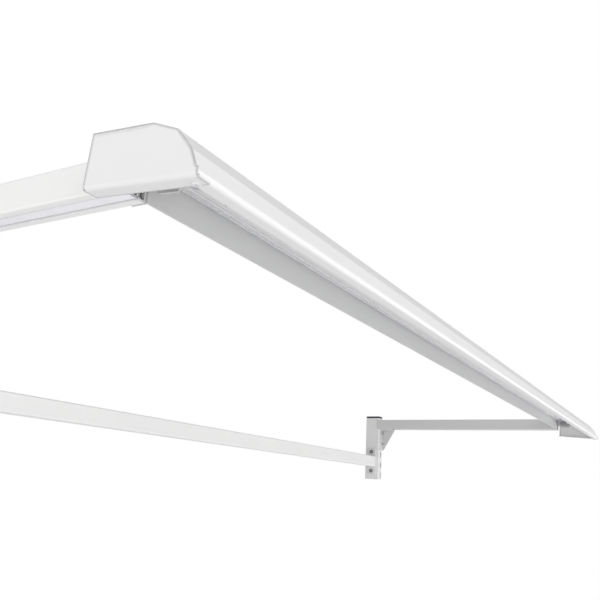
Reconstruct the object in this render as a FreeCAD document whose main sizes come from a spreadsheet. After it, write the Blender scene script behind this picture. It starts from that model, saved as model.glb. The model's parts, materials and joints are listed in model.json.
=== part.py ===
import FreeCAD, Part
import math
import os

import Sketcher

# LED work light on a bench frame
# X runs along the light, +X to the far end. Y runs to the rear and Z up.
# The origin is the centre of the four rear fixing holes, on the rear plane of the posts.
# Near pieces are on the -X side and far pieces on the +X side.

DIMENSIONS = (
    # Frame as a whole
    ("frame_length", 1985),
    ("beam_front", 653.5),
    ("arm_bottom", 112),
    # General clearances
    ("seat_gap", 0.1),
    ("hole_gap", 0.25),
    ("thread_gap", 0.05),
    ("overrun", 2),
    # Post
    ("post_side_gap", 0.5),
    ("post_depth", 50),
    ("post_wall", 2),
    ("post_drop", 60),
    ("post_rise", 6.5),
    ("post_corner", 3),
    ("slot_width", 7),
    ("slot_length", 21),
    ("slot_pitch", 36),
    ("slot_below", 11),
    ("slot_foot", 1.5),
    ("rear_bolt_spacing", 72),
    # Post plug
    ("plug_height", 6.5),
    ("plug_insert", 9.5),
    ("plug_wall", 2.5),
    ("plug_round", 1.5),
    # Arm
    ("arm_width", 35),
    ("arm_height", 32),
    ("arm_wall", 2),
    ("arm_lip", 9),
    ("arm_ear", 8),
    ("arm_setback", 2),
    ("arm_corner", 2),
    ("end_plate_thickness", 4),
    # Arm cover strip
    ("cover_side_gap", 1.2),
    ("cover_recess", 0.9),
    ("cover_thickness", 1.3),
    ("cover_lap", 2.5),
    ("cover_wing_thickness", 1),
    ("cover_stop_gap", 16),
    # Gusset
    ("gusset_forward", 45),
    ("gusset_down", 72),
    ("gusset_toe", 5),
    ("gusset_sheet", 3),
    ("gusset_flange", 26),
    ("rail_screw_forward", 24),
    ("rail_nut_length", 24),
    ("rail_nut_side_gap", 2.5),
    ("rail_nut_height", 6),
    # Crossbar and its end plates
    ("crossbar_height", 35),
    ("crossbar_depth", 30),
    ("crossbar_wall", 2),
    ("crossbar_corner", 3),
    ("crossplate_height", 90),
    ("crossplate_thickness", 4),
    ("crossplate_corner", 4),
    ("crossplate_bolt_spacing", 65),
    # Front beam
    ("beam_height", 30),
    ("beam_depth", 18),
    ("beam_sheet", 1.5),
    ("beam_corner", 1),
    ("beam_screw_low", 8),
    ("beam_screw_spacing", 10),
    ("beam_screw_behind", 9),
    # Tilt bracket and pivot
    ("pivot_forward", 30),
    ("pivot_rise", 18),
    ("tongue_sheet", 3),
    ("tongue_radius", 8),
    ("bracket_length", 60),
    ("bracket_foot", 3.6),
    ("bracket_flange_gap", 3.4),
    ("bracket_screw_first", 32),
    ("bracket_screw_pitch", 18),
    ("washer_thickness", 1),
    ("washer_radius", 8),
    ("stud_radius", 5),
    ("stud_bore", 3.2),
    ("stud_head_radius", 8),
    ("stud_head_height", 4),
    ("stud_nut_radius", 7.6),
    ("stud_nut_height", 5),
    ("stud_tail", 1.5),
    ("lock_distance", 14),
    ("knob_radius", 5.8),
    ("knob_height", 9),
    ("hood_tilt", 4.3),
    ("tilt_range", 30),
    # Hood shell, measured in its level position
    ("hood_overhang", 33.5),
    ("hood_rear", 31.65),
    ("hood_roof_height", 12.5),
    ("hood_height", 47.7),
    ("roof_depth", 63.4),
    ("shoulder_run", 25.2),
    ("shoulder_drop", 8.6),
    ("brow_run", 15.7),
    ("brow_drop", 17.4),
    ("fascia_run", 10.2),
    ("flange_depth", 16),
    ("hood_sheet", 1),
    ("shell_setback", 2.15),
    ("cap_gap", 0.4),
    ("bend_radius", 2),
    ("edge_bend_radius", 3),
    ("notch_width", 3.6),
    ("notch_height", 3.4),
    # End cap
    ("cap_lip", 16),
    ("cap_return", 12),
    ("cap_return_depth", 60),
    ("corner_screw_inset", 12),
    ("corner_screw_behind", 10.5),
    ("cap_screw_spacing", 30),
    # Hood hanger
    ("hanger_sheet", 3),
    ("hanger_flange", 24),
    ("hanger_flange_sheet", 2.4),
    ("hanger_front", 12),
    ("hanger_rear", 16),
    ("ear_rear", 20),
    ("ear_shoulder", 4.5),
    ("ear_low_front", 5),
    ("ear_low", 12.5),
    ("hanger_screw_spacing", 16),
    # Rear trim of the ceiling
    ("trim_front", 20.5),
    ("trim_rear", 29.2),
    ("trim_base", 0.9),
    ("trim_ridge", 1.4),
    ("trim_ridge_width", 1.2),
    ("trim_ridge_pitch", 4),
    ("trim_lip", 2.3),
    # LED carrier, boards and diffuser
    ("carrier_inset", 30.4),
    ("carrier_flange_rear", 18),
    ("carrier_wall", 30),
    ("carrier_base", 8),
    ("carrier_depth", 29),
    ("carrier_front_lip", 5),
    ("carrier_sheet", 1.2),
    ("carrier_screw_inset", 45),
    ("board_count", 4),
    ("board_end_gap", 15),
    ("board_gap", 4),
    ("board_width", 20),
    ("board_thickness", 1.6),
    ("chip_count", 12),
    ("chip_length", 3.5),
    ("chip_width", 2.8),
    ("chip_height", 0.8),
    ("diffuser_depth", 6.2),
    ("diffuser_wall", 1.2),
    ("diffuser_corner", 2.5),
    ("diffuser_end_length", 4),
    # Driver and terminal block
    ("driver_length", 240),
    ("driver_width", 20),
    ("driver_height", 10),
    ("driver_ear", 10),
    ("driver_ear_thickness", 2),
    ("driver_chamfer", 1),
    ("driver_gap", 57),
    ("terminal_length", 36),
    ("terminal_width", 14),
    ("terminal_height", 12),
    ("terminal_step", 5),
    ("terminal_inset", 40),
    # Leads and gland
    ("lead_radius", 2.5),
    ("lead_bend", 15),
    ("gland_gap", 4),
    ("gland_radius", 5),
    ("gland_hex_radius", 7.5),
    ("gland_hex_height", 5),
    ("gland_dome_height", 9),
    ("gland_dome_radius", 6),
    ("gland_nut_height", 3),
    ("gland_tail", 1.5),
    ("lead_low", 6.5),
    ("lead_rise_behind", 143.5),
    ("lead_rise_length", 45),
    # Screws: radius, head and lengths
    ("eight_radius", 4),
    ("eight_head", 7),
    ("eight_head_height", 4.4),
    ("crossbar_screw_length", 16),
    ("six_radius", 3),
    ("six_head", 5.25),
    ("six_head_height", 3.3),
    ("slot_screw_length", 12),
    ("rail_screw_length", 12),
    ("five_radius", 2.5),
    ("five_head", 4.75),
    ("five_head_height", 2.75),
    ("bracket_screw_length", 6),
    ("hanger_screw_length", 6),
    ("four_radius", 2),
    ("four_head", 4),
    ("four_head_height", 2.4),
    ("corner_head_height", 1.6),
    ("beam_screw_length", 11),
    ("sheet_screw_length", 6),
    # Nuts
    ("slot_nut_side", 13),
    ("slot_nut_gap", 0.5),
    ("slot_nut_height", 5),
    ("rivet_nut_radius", 5.5),
    ("rivet_nut_collar", 7),
    ("rivet_nut_collar_height", 2.5),
    ("rivet_nut_length", 14),
    ("beam_nut_radius", 4),
    ("beam_nut_height", 3.2),
)

# The top of a screw head and its socket, as shares of the head
HEAD_TOP_SHARE = 0.84
SOCKET_SHARE = 0.5
SOCKET_DEPTH_SHARE = 0.55
# The outer end of a dome and the foot of a knob, as a share of the radius
DOME_TOP_SHARE = 0.7

# Share of the driver's width that each screw ear leaves clear on either side
EAR_INSET_SHARE = 0.25
# Edges are matched within this share of the hood's sheet
TOUCH_SHARE = 0.02
# Places of the terminal block's screws and of the carrier's screws, in pitches from the middle
TERMINAL_STEPS = (-1, 0, 1)
CARRIER_STEPS = (-2, -1, 0, 1, 2)

SIDES = (("near", -1), ("far", 1))
NEAR, FAR = (side for _, side in SIDES)
AXES = "xyz"
ALONG_X, ALONG_Y, ALONG_Z = AXES


class Size:
    """A length that holds its number and the sheet expression that gives it."""

    def __init__(self, text, number):
        self.text = text
        self.number = number

    def __add__(self, other):
        return Size(f"({self.text} + {text_of(other)})", self.number + number_of(other))

    def __sub__(self, other):
        return Size(f"({self.text} - {text_of(other)})", self.number - number_of(other))

    def __mul__(self, factor):
        return Size(f"({self.text} * {text_of(factor)})", self.number * number_of(factor))

    def __truediv__(self, factor):
        return Size(f"({self.text} / {text_of(factor)})", self.number / number_of(factor))

    def __neg__(self):
        return Size(f"(0 - {self.text})", -self.number)


def text_of(value):
    return value.text if isinstance(value, Size) else repr(value)


def number_of(value):
    return value.number if isinstance(value, Size) else value


ZERO = Size("0", 0)


class Dimensions:
    """The driving dimensions, one attribute for each row of the sheet."""


def fill_sheet(document):
    sheet = document.addObject("Spreadsheet::Sheet", "dims")
    sizes = Dimensions()
    for row, (alias, value) in enumerate(DIMENSIONS, start=1):
        sheet.set(f"A{row}", alias)
        sheet.set(f"B{row}", str(value))
        sheet.setAlias(f"B{row}", alias)
        setattr(sizes, alias, Size(f"dims.{alias}", value))
    document.recompute()
    return sizes


doc = FreeCAD.newDocument("led_work_light")
d = fill_sheet(doc)
nodes = []

# Places in the frame
ARM_X = (d.frame_length - d.arm_width) / 2
ARM_INSIDE = d.arm_width - d.arm_wall * 2
ARM_MOUTH = d.arm_width - d.arm_lip * 2
POST_WIDTH = ARM_INSIDE - d.post_side_gap * 2
ARM_INNER = ARM_X - d.arm_width / 2
ARM_TOP = d.arm_bottom + d.arm_height
ARM_FRONT = d.arm_setback - d.beam_front
POST_FRONT = -d.post_depth
POST_INNER = ARM_X - POST_WIDTH / 2
POST_TOP = ARM_TOP + d.post_rise
POST_LENGTH = POST_TOP + d.post_drop
POST_MIDDLE = (POST_TOP - d.post_drop) / 2
POST_CENTRE_Y = -d.post_depth / 2
CROSSPLATE_INNER = POST_INNER - d.crossplate_thickness
SLOT_OFFSET = POST_WIDTH / 2 - d.post_wall - d.slot_nut_side / 2 - d.slot_nut_gap
TOP_SLOT = ARM_TOP - d.slot_below
SLOT_ROOM = TOP_SLOT + d.post_drop - d.slot_length / 2 - d.slot_foot
SLOT_COUNT = int((SLOT_ROOM / d.slot_pitch).number) + 1
BEAM_TOP = d.arm_bottom + d.beam_height
BEAM_HALF = ARM_INNER - d.seat_gap
PIVOT_Y = -d.beam_front - d.pivot_forward
PIVOT_Z = d.arm_bottom + d.pivot_rise
TONGUE_OUTER = ARM_INNER + d.arm_wall + d.seat_gap + d.tongue_sheet
TONGUE_INNER = TONGUE_OUTER - d.tongue_sheet
EAR_OUTER = TONGUE_INNER - d.seat_gap - d.washer_thickness - d.seat_gap
EAR_INNER = EAR_OUTER - d.hanger_sheet
BRACKET_TOP = ARM_TOP - d.arm_wall - d.seat_gap
BEAM_SCREW_Y = d.beam_screw_behind - d.beam_front
BRACKET_SCREW_Y = d.bracket_screw_first - d.beam_front
RAIL_SCREW_Y = POST_FRONT - d.rail_screw_forward
RAIL_NUT_FRONT = RAIL_SCREW_Y - d.rail_nut_length / 2
COVER_REAR = RAIL_NUT_FRONT - d.cover_stop_gap
GUSSET_OUTER = d.frame_length / 2

# Places in the hood, from the tilt axis, with the hood level
HOOD_HALF = d.frame_length / 2 + d.hood_overhang
SHELL_HALF = HOOD_HALF - d.hood_sheet - d.cap_gap
ROOF_FRONT = d.hood_rear - d.roof_depth
SHOULDER_Y = ROOF_FRONT - d.shoulder_run
SHOULDER_Z = d.hood_roof_height - d.shoulder_drop
BROW_Y = SHOULDER_Y - d.brow_run
BROW_Z = SHOULDER_Z - d.brow_drop
FASCIA_Y = BROW_Y - d.fascia_run
HOOD_BOTTOM = d.hood_roof_height - d.hood_height
CAP_BOTTOM = HOOD_BOTTOM - d.hood_sheet
FASCIA_DROP = BROW_Z - HOOD_BOTTOM
CEILING = d.hood_roof_height - d.hood_sheet
SHELL_REAR = d.hood_rear - d.shell_setback
CARRIER_BASE_LOW = -d.carrier_base - d.carrier_sheet
BOARD_Y = -d.carrier_wall - d.carrier_depth / 2
BOARD_LOW = CARRIER_BASE_LOW - d.board_thickness
DIFFUSER_TOP = CARRIER_BASE_LOW - d.seat_gap
DIFFUSER_LOW = DIFFUSER_TOP - d.diffuser_depth
DIFFUSER_HALF_Y = d.carrier_depth / 2
CARRIER_HALF = EAR_INNER - d.carrier_inset
CARRIER_SCREW_PITCH = (CARRIER_HALF - d.carrier_screw_inset) / CARRIER_STEPS[-1]
BOARDS_GAPS = d.board_end_gap * 2 + d.board_gap * (d.board_count - 1)
BOARD_LENGTH = (CARRIER_HALF * 2 - BOARDS_GAPS) / d.board_count
BOARD_PITCH = BOARD_LENGTH + d.board_gap
TERMINAL_X = CARRIER_HALF - d.terminal_inset
DRIVER_END_X = TERMINAL_X - d.terminal_length / 2 - d.driver_gap
DRIVER_X = DRIVER_END_X - d.driver_ear - d.driver_length / 2
HANGER_SCREW_X = EAR_INNER - d.hanger_flange / 2
CARRIER_SCREW_Y = -(d.carrier_flange_rear + d.carrier_wall) / 2
CAP_SCREW_X = HOOD_HALF - d.hood_sheet - d.cap_return / 2
CORNER_SCREW_Y = FASCIA_Y + d.corner_screw_behind


# Building blocks

def bind_place(item, x, y, z):
    for axis, size in zip("xyz", (x, y, z)):
        item.setExpression(f"Placement.Base.{axis}", text_of(size))


def put_on_hood(item, x=ZERO):
    """Place an item that is drawn from the tilt axis with the hood level."""
    item.Placement = FreeCAD.Placement(
        FreeCAD.Vector(0, 0, 0), FreeCAD.Rotation(FreeCAD.Vector(1, 0, 0), d.hood_tilt.number)
    )
    item.setExpression("Placement.Rotation.Angle", d.hood_tilt.text)
    bind_place(item, x, PIVOT_Y, PIVOT_Z)


def keep(item, name):
    item.Label = name
    nodes.append(item)
    return item


def new_body(name):
    return keep(doc.addObject("PartDesign::Body", name), name)


def new_sketch(body, plane, at=ZERO):
    """A sketch on one of the body's own planes, moved along that plane's axis to a place."""
    sketch = body.newObject("Sketcher::SketchObject", f"{body.Name}_sketch")
    support = [item for item in body.Origin.OriginFeatures if item.Role == plane][0]
    sketch.AttachmentSupport = [(support, "")]
    sketch.MapMode = "FlatFace"
    offset = -at if plane == "XZ_Plane" else at
    sketch.setExpression("AttachmentOffset.Base.z", offset.text)
    return sketch


def hold_point(sketch, geometry, position, x, y):
    for kind, axis, size in (("DistanceX", -2, x), ("DistanceY", -1, y)):
        if size is ZERO:
            sketch.addConstraint(Sketcher.Constraint("PointOnObject", geometry, position, axis))
            continue
        constraint = Sketcher.Constraint(kind, -1, 1, geometry, position, size.number)
        index = sketch.addConstraint(constraint)
        sketch.setExpression(f"Constraints[{index}]", size.text)


def add_outline(sketch, points):
    """A closed outline of straight lines through points given as sizes."""
    first = len(sketch.Geometry)
    corners = [FreeCAD.Vector(number_of(x), number_of(y), 0) for x, y in points]
    for start, end in zip(corners, corners[1:] + corners[:1]):
        sketch.addGeometry(Part.LineSegment(start, end), False)
    for index, (x, y) in enumerate(points):
        following = first + (index + 1) % len(points)
        sketch.addConstraint(Sketcher.Constraint("Coincident", first + index, 2, following, 1))
        hold_point(sketch, first + index, 1, x, y)


def add_box(sketch, left, right, low, high):
    add_outline(sketch, ((left, low), (right, low), (right, high), (left, high)))


def add_centred_box(sketch, width, height):
    add_box(sketch, -width / 2, width / 2, -height / 2, height / 2)


def add_circle(sketch, x, y, radius):
    centre = FreeCAD.Vector(number_of(x), number_of(y), 0)
    circle = Part.Circle(centre, FreeCAD.Vector(0, 0, 1), radius.number)
    geometry = sketch.addGeometry(circle, False)
    hold_point(sketch, geometry, 3, x, y)
    index = sketch.addConstraint(Sketcher.Constraint("Radius", geometry, radius.number))
    sketch.setExpression(f"Constraints[{index}]", radius.text)


def pad(body, sketch, length):
    """Material equally to both sides of the sketch."""
    feature = body.newObject("PartDesign::Pad", f"{body.Name}_pad")
    feature.Profile = sketch
    feature.SideType = "Symmetric"
    feature.setExpression("Length", length.text)
    doc.recompute()
    return feature


def pocket(body, sketch, length):
    """A cut equally to both sides of the sketch."""
    feature = body.newObject("PartDesign::Pocket", f"{body.Name}_pocket")
    feature.Profile = sketch
    feature.SideType = "Symmetric"
    feature.setExpression("Length", length.text)
    doc.recompute()
    return feature


def edges_along(shape, axis, places):
    """Names of the straight edges along an axis that pass through places of the other two."""
    others = [other for other in AXES if other != axis]
    found = []
    for number, edge in enumerate(shape.Edges, start=1):
        start, end = edge.Vertexes[0].Point, edge.Vertexes[-1].Point
        if edge.Curve.TypeId != "Part::GeomLine":
            continue
        if any(abs(getattr(start, other) - getattr(end, other)) > TOUCH for other in others):
            continue
        line = [getattr(start, other) for other in others]
        for place in places:
            if all(abs(at - number_of(wanted)) < TOUCH for at, wanted in zip(line, place)):
                found.append(f"Edge{number}")
                break
    return found


def fillet(body, radius, axis, places):
    names = edges_along(body.Tip.Shape, axis, places)
    base = body.Tip
    feature = body.newObject("PartDesign::Fillet", f"{body.Name}_fillet")
    feature.Base = (base, names)
    feature.setExpression("Radius", radius.text)
    doc.recompute()
    return feature


TOUCH = d.hood_sheet.number * TOUCH_SHARE


def corners_of(width, height):
    return [(width / 2 * a, height / 2 * b) for a in (-1, 1) for b in (-1, 1)]


def along(start, direction, distance):
    return tuple(place + distance * step for place, step in zip(start, direction))


def aimed(kind, name, start, direction):
    """A primitive whose own Z axis points along a direction from a start point."""
    item = doc.addObject(kind, name)
    turn = FreeCAD.Rotation(FreeCAD.Vector(0, 0, 1), FreeCAD.Vector(*direction))
    item.Placement = FreeCAD.Placement(FreeCAD.Vector(0, 0, 0), turn)
    bind_place(item, *start)
    return item


def cylinder(name, start, direction, radius, height):
    item = aimed("Part::Cylinder", name, start, direction)
    item.setExpression("Radius", radius.text)
    item.setExpression("Height", height.text)
    return item


def cone(name, start, direction, radius, top_radius, height):
    item = aimed("Part::Cone", name, start, direction)
    item.setExpression("Radius1", radius.text)
    item.setExpression("Radius2", top_radius.text)
    item.setExpression("Height", height.text)
    return item


def hexagon(name, start, direction, radius, height):
    item = aimed("Part::Prism", name, start, direction)
    item.Polygon = 6
    item.setExpression("Circumradius", radius.text)
    item.setExpression("Height", height.text)
    return item


def box(name, low, high):
    item = doc.addObject("Part::Box", name)
    bind_place(item, *low)
    for key, start, end in zip(("Length", "Width", "Height"), low, high):
        item.setExpression(key, (end - start).text)
    return item


def joined(name, solids):
    if len(solids) == 1:
        return solids[0]
    item = doc.addObject("Part::MultiFuse", name)
    item.Shapes = solids
    return item


def cut(name, solids, tools):
    """The named node: solids joined where they touch, less the tools."""
    item = doc.addObject("Part::Cut", name)
    item.Base = joined(f"{name}_solids", solids)
    item.Tool = joined(f"{name}_tools", tools)
    return keep(item, name)


def opposite(direction):
    return tuple(-step for step in direction)


def screws(name, seats, direction_of, radius, head, head_height, length):
    """Identical socket screws, each seated at a place with its shank along a direction."""
    solids = []
    sockets = []
    for number, seat in enumerate(seats, start=1):
        direction = direction_of(seat)
        label = f"{name}_{number}"
        back = opposite(direction)
        solids.append(cylinder(f"{label}_shank", seat, direction, radius, length))
        solids.append(cone(f"{label}_head", seat, back, head, head * HEAD_TOP_SHARE, head_height))
        depth = head_height * SOCKET_DEPTH_SHARE
        floor = along(seat, back, head_height - depth)
        tall = depth + d.overrun
        sockets.append(hexagon(f"{label}_socket", floor, back, head * SOCKET_SHARE, tall))
    return cut(name, solids, sockets)


def heading(*direction):
    """Every screw of a group points the same way."""
    return lambda seat: direction


def outward_x(seat):
    return (FAR if seat[0].number > 0 else NEAR, 0, 0)


def inward_x(seat):
    return opposite(outward_x(seat))


def both_sides(places):
    """The same places at the near end and at the far end."""
    return [(x * side, y, z) for _, side in SIDES for x, y, z in places]


# Frame pieces

def make_post(name, side):
    body = new_body(name)
    bind_place(body, ARM_X * side, POST_CENTRE_Y, POST_MIDDLE)
    section = new_sketch(body, "XY_Plane")
    add_centred_box(section, POST_WIDTH, d.post_depth)
    add_centred_box(section, POST_WIDTH - d.post_wall * 2, d.post_depth - d.post_wall * 2)
    pad(body, section, POST_LENGTH)
    fillet(body, d.post_corner, ALONG_Z, corners_of(POST_WIDTH, d.post_depth))
    add_post_slots(body, side)
    add_post_holes(body, side)


def add_post_slots(body, side):
    """A column of upright slots in the front wall, nearer to the outer side."""
    front = new_sketch(body, "XZ_Plane", (d.post_wall - d.post_depth) / 2)
    x = SLOT_OFFSET * side
    straight = (d.slot_length - d.slot_width) / 2
    for number in range(SLOT_COUNT):
        z = TOP_SLOT - d.slot_pitch * number - POST_MIDDLE
        add_slot(front, x, z, straight, d.slot_width / 2)
    pocket(body, front, d.post_wall * 2)


def add_slot(sketch, x, y, straight, radius):
    """An upright slot: two half circles joined by two tangent lines."""
    first = len(sketch.Geometry)
    top = FreeCAD.Vector(x.number, y.number + straight.number, 0)
    bottom = FreeCAD.Vector(x.number, y.number - straight.number, 0)
    reach = FreeCAD.Vector(radius.number, 0, 0)
    up = FreeCAD.Vector(0, radius.number, 0)
    sketch.addGeometry(Part.Arc(top + reach, top + up, top - reach), False)
    sketch.addGeometry(Part.LineSegment(top - reach, bottom - reach), False)
    sketch.addGeometry(Part.Arc(bottom - reach, bottom - up, bottom + reach), False)
    sketch.addGeometry(Part.LineSegment(bottom + reach, top + reach), False)
    for one, other in ((0, 1), (1, 2), (2, 3), (3, 0)):
        tangent = Sketcher.Constraint("Tangent", first + one, 2, first + other, 1)
        sketch.addConstraint(tangent)
    sketch.addConstraint(Sketcher.Constraint("Equal", first, first + 2))
    hold_point(sketch, first, 3, x, y + straight)
    hold_point(sketch, first + 2, 3, x, y - straight)
    index = sketch.addConstraint(Sketcher.Constraint("Radius", first, radius.number))
    sketch.setExpression(f"Constraints[{index}]", radius.text)


def add_post_holes(body, side):
    """Rivet nut holes in the rear wall and in the wall that faces the crossbar."""
    hole = d.rivet_nut_radius + d.thread_gap
    rear = new_sketch(body, "XZ_Plane", (d.post_depth - d.post_wall) / 2)
    inner = new_sketch(body, "YZ_Plane", (d.post_wall - POST_WIDTH) / 2 * side)
    for up in (-1, 1):
        add_circle(rear, ZERO, d.rear_bolt_spacing / 2 * up - POST_MIDDLE, hole)
        add_circle(inner, ZERO, d.crossplate_bolt_spacing / 2 * up - POST_MIDDLE, hole)
    pocket(body, rear, d.post_wall * 2)
    pocket(body, inner, d.post_wall * 2)


def make_post_cap(name, side):
    """A plug: a lid on top of the post and a hollow skirt inside it."""
    body = new_body(name)
    bind_place(body, ARM_X * side, POST_CENTRE_Y, POST_TOP)
    inside_width = POST_WIDTH - (d.post_wall + d.seat_gap) * 2
    inside_depth = d.post_depth - (d.post_wall + d.seat_gap) * 2
    lid = new_sketch(body, "XY_Plane", d.plug_height / 2)
    add_centred_box(lid, POST_WIDTH, d.post_depth)
    pad(body, lid, d.plug_height)
    fillet(body, d.post_corner, ALONG_Z, corners_of(POST_WIDTH, d.post_depth))
    skirt = new_sketch(body, "XY_Plane", -d.plug_insert / 2)
    add_centred_box(skirt, inside_width, inside_depth)
    add_centred_box(skirt, inside_width - d.plug_wall * 2, inside_depth - d.plug_wall * 2)
    pad(body, skirt, d.plug_insert)
    top = body.newObject("PartDesign::Fillet", f"{name}_top")
    names = [
        f"Edge{number}" for number, edge in enumerate(skirt_base(body).Shape.Edges, start=1)
        if min(vertex.Z for vertex in edge.Vertexes) > d.plug_height.number - TOUCH
    ]
    top.Base = (skirt_base(body), names)
    top.setExpression("Radius", d.plug_round.text)
    doc.recompute()


def skirt_base(body):
    pads = [item for item in body.Group if item.TypeId == "PartDesign::Pad"]
    return pads[-1]


def make_arm(name, side):
    """A C rail that opens downwards, with ears that straddle the post."""
    body = new_body(name)
    bind_place(body, ARM_X * side, ZERO, ZERO)
    half = d.arm_width / 2
    inner = half - d.arm_wall
    mouth = ARM_MOUTH / 2
    lip_top = d.arm_bottom + d.arm_wall
    web_low = ARM_TOP - d.arm_wall
    ear_rear = POST_FRONT + d.arm_ear
    section = new_sketch(body, "XZ_Plane", (ARM_FRONT + ear_rear) / 2)
    add_outline(section, (
        (-half, d.arm_bottom), (-mouth, d.arm_bottom), (-mouth, lip_top), (-inner, lip_top),
        (-inner, web_low), (inner, web_low), (inner, lip_top), (mouth, lip_top),
        (mouth, d.arm_bottom), (half, d.arm_bottom), (half, ARM_TOP), (-half, ARM_TOP),
    ))
    pad(body, section, ear_rear - ARM_FRONT)
    ears = [(x, z) for x in (-half, half) for z in (d.arm_bottom, ARM_TOP)]
    fillet(body, d.arm_corner, ALONG_Y, ears)
    notch = new_sketch(body, "XY_Plane", (d.arm_bottom + ARM_TOP) / 2)
    clear = POST_WIDTH / 2 + d.hole_gap
    add_box(notch, -clear, clear, POST_FRONT, ear_rear + d.overrun)
    pocket(body, notch, d.arm_height + d.overrun)
    add_arm_holes(body, side)


def add_arm_holes(body, side):
    top = new_sketch(body, "XY_Plane", ARM_TOP - d.arm_wall / 2)
    for number in range(2):
        y = BRACKET_SCREW_Y + d.bracket_screw_pitch * number
        add_circle(top, ZERO, y, d.five_radius + d.hole_gap)
    if side == NEAR:
        add_circle(top, GLAND_X - ARM_X * NEAR, GLAND_Y, d.gland_radius + d.thread_gap)
    pocket(body, top, d.arm_wall * 2)
    inner_wall = new_sketch(body, "YZ_Plane", (d.arm_wall - d.arm_width) / 2 * side)
    for number in range(2):
        add_circle(inner_wall, BEAM_SCREW_Y, beam_screw_z(number), d.four_radius + d.hole_gap)
    pocket(body, inner_wall, d.arm_wall * 2)


def beam_screw_z(number):
    return d.arm_bottom + d.beam_screw_low + d.beam_screw_spacing * number


def make_arm_end_plate(name, side):
    """The plate welded across the inside of the arm where it meets the post."""
    body = new_body(name)
    bind_place(body, ARM_X * side, ZERO, ZERO)
    inner = d.arm_width / 2 - d.arm_wall - d.seat_gap
    face = new_sketch(body, "XZ_Plane", POST_FRONT - d.end_plate_thickness / 2)
    low = d.arm_bottom + d.arm_wall + d.seat_gap
    add_box(face, -inner, inner, low, ARM_TOP - d.arm_wall - d.seat_gap)
    add_circle(face, SLOT_OFFSET * side, TOP_SLOT, d.six_radius + d.hole_gap)
    pad(body, face, d.end_plate_thickness)


def make_gusset(name, side):
    """A web in line with the arm's outer face, a flange on the post and one under the arm."""
    body = new_body(name)
    bind_place(body, GUSSET_OUTER * side, ZERO, ZERO)
    front = POST_FRONT - d.gusset_forward
    low = d.arm_bottom - d.gusset_down
    web = new_sketch(body, "YZ_Plane", d.gusset_sheet / 2 * -side)
    add_outline(web, (
        (POST_FRONT, d.arm_bottom), (front, d.arm_bottom), (front, d.arm_bottom - d.gusset_toe),
        (POST_FRONT - d.gusset_toe, low), (POST_FRONT, low),
    ))
    pad(body, web, d.gusset_sheet)
    foot = new_sketch(body, "XZ_Plane", POST_FRONT - d.gusset_sheet / 2)
    outer = ZERO
    inner = d.gusset_flange * -side
    add_box(foot, outer, inner, low, d.arm_bottom)
    for number in (1, 2):
        z = TOP_SLOT - d.slot_pitch * number
        add_circle(foot, slot_x(side) - GUSSET_OUTER * side, z, d.six_radius + d.hole_gap)
    pad(body, foot, d.gusset_sheet)
    shelf = new_sketch(body, "XY_Plane", d.arm_bottom - d.gusset_sheet / 2)
    add_box(shelf, outer, inner, front, POST_FRONT)
    add_circle(shelf, (ARM_X - GUSSET_OUTER) * side, RAIL_SCREW_Y, d.six_radius + d.hole_gap)
    pad(body, shelf, d.gusset_sheet)


def slot_x(side):
    return (ARM_X + SLOT_OFFSET) * side


def make_crossbar(name):
    body = new_body(name)
    bind_place(body, ZERO, POST_CENTRE_Y, ZERO)
    section = new_sketch(body, "YZ_Plane")
    add_centred_box(section, d.crossbar_depth, d.crossbar_height)
    wall = d.crossbar_wall * 2
    add_centred_box(section, d.crossbar_depth - wall, d.crossbar_height - wall)
    pad(body, section, CROSSPLATE_INNER * 2)
    fillet(body, d.crossbar_corner, ALONG_X, corners_of(d.crossbar_depth, d.crossbar_height))


def make_crossbar_plate(name, side):
    body = new_body(name)
    middle = POST_INNER - d.crossplate_thickness / 2
    bind_place(body, middle * side, POST_CENTRE_Y, ZERO)
    face = new_sketch(body, "YZ_Plane")
    add_centred_box(face, d.crossbar_depth, d.crossplate_height)
    for up in (-1, 1):
        z = d.crossplate_bolt_spacing / 2 * up
        add_circle(face, ZERO, z, d.eight_radius + d.hole_gap)
    pad(body, face, d.crossplate_thickness)
    corners = corners_of(d.crossbar_depth, d.crossplate_height)
    fillet(body, d.crossplate_corner, ALONG_X, corners)


def make_front_beam(name):
    """An angle, its flange on top towards the rear, closed by a plate at each end."""
    body = new_body(name)
    bind_place(body, ZERO, -d.beam_front, d.arm_bottom)
    sheet = d.beam_sheet
    section = new_sketch(body, "YZ_Plane")
    add_outline(section, (
        (ZERO, ZERO), (sheet, ZERO), (sheet, d.beam_height - sheet),
        (d.beam_depth, d.beam_height - sheet), (d.beam_depth, d.beam_height),
        (ZERO, d.beam_height),
    ))
    pad(body, section, BEAM_HALF * 2)
    for side in (NEAR, FAR):
        end = new_sketch(body, "YZ_Plane", (BEAM_HALF - sheet / 2) * side)
        add_box(end, sheet / 2, d.beam_depth, ZERO, d.beam_height - sheet / 2)
        for number in range(2):
            z = beam_screw_z(number) - d.arm_bottom
            add_circle(end, d.beam_screw_behind, z, d.four_radius + d.hole_gap)
        pad(body, end, sheet)
    fillet(body, d.beam_corner, ALONG_X, ((ZERO, d.beam_height),))


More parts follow.
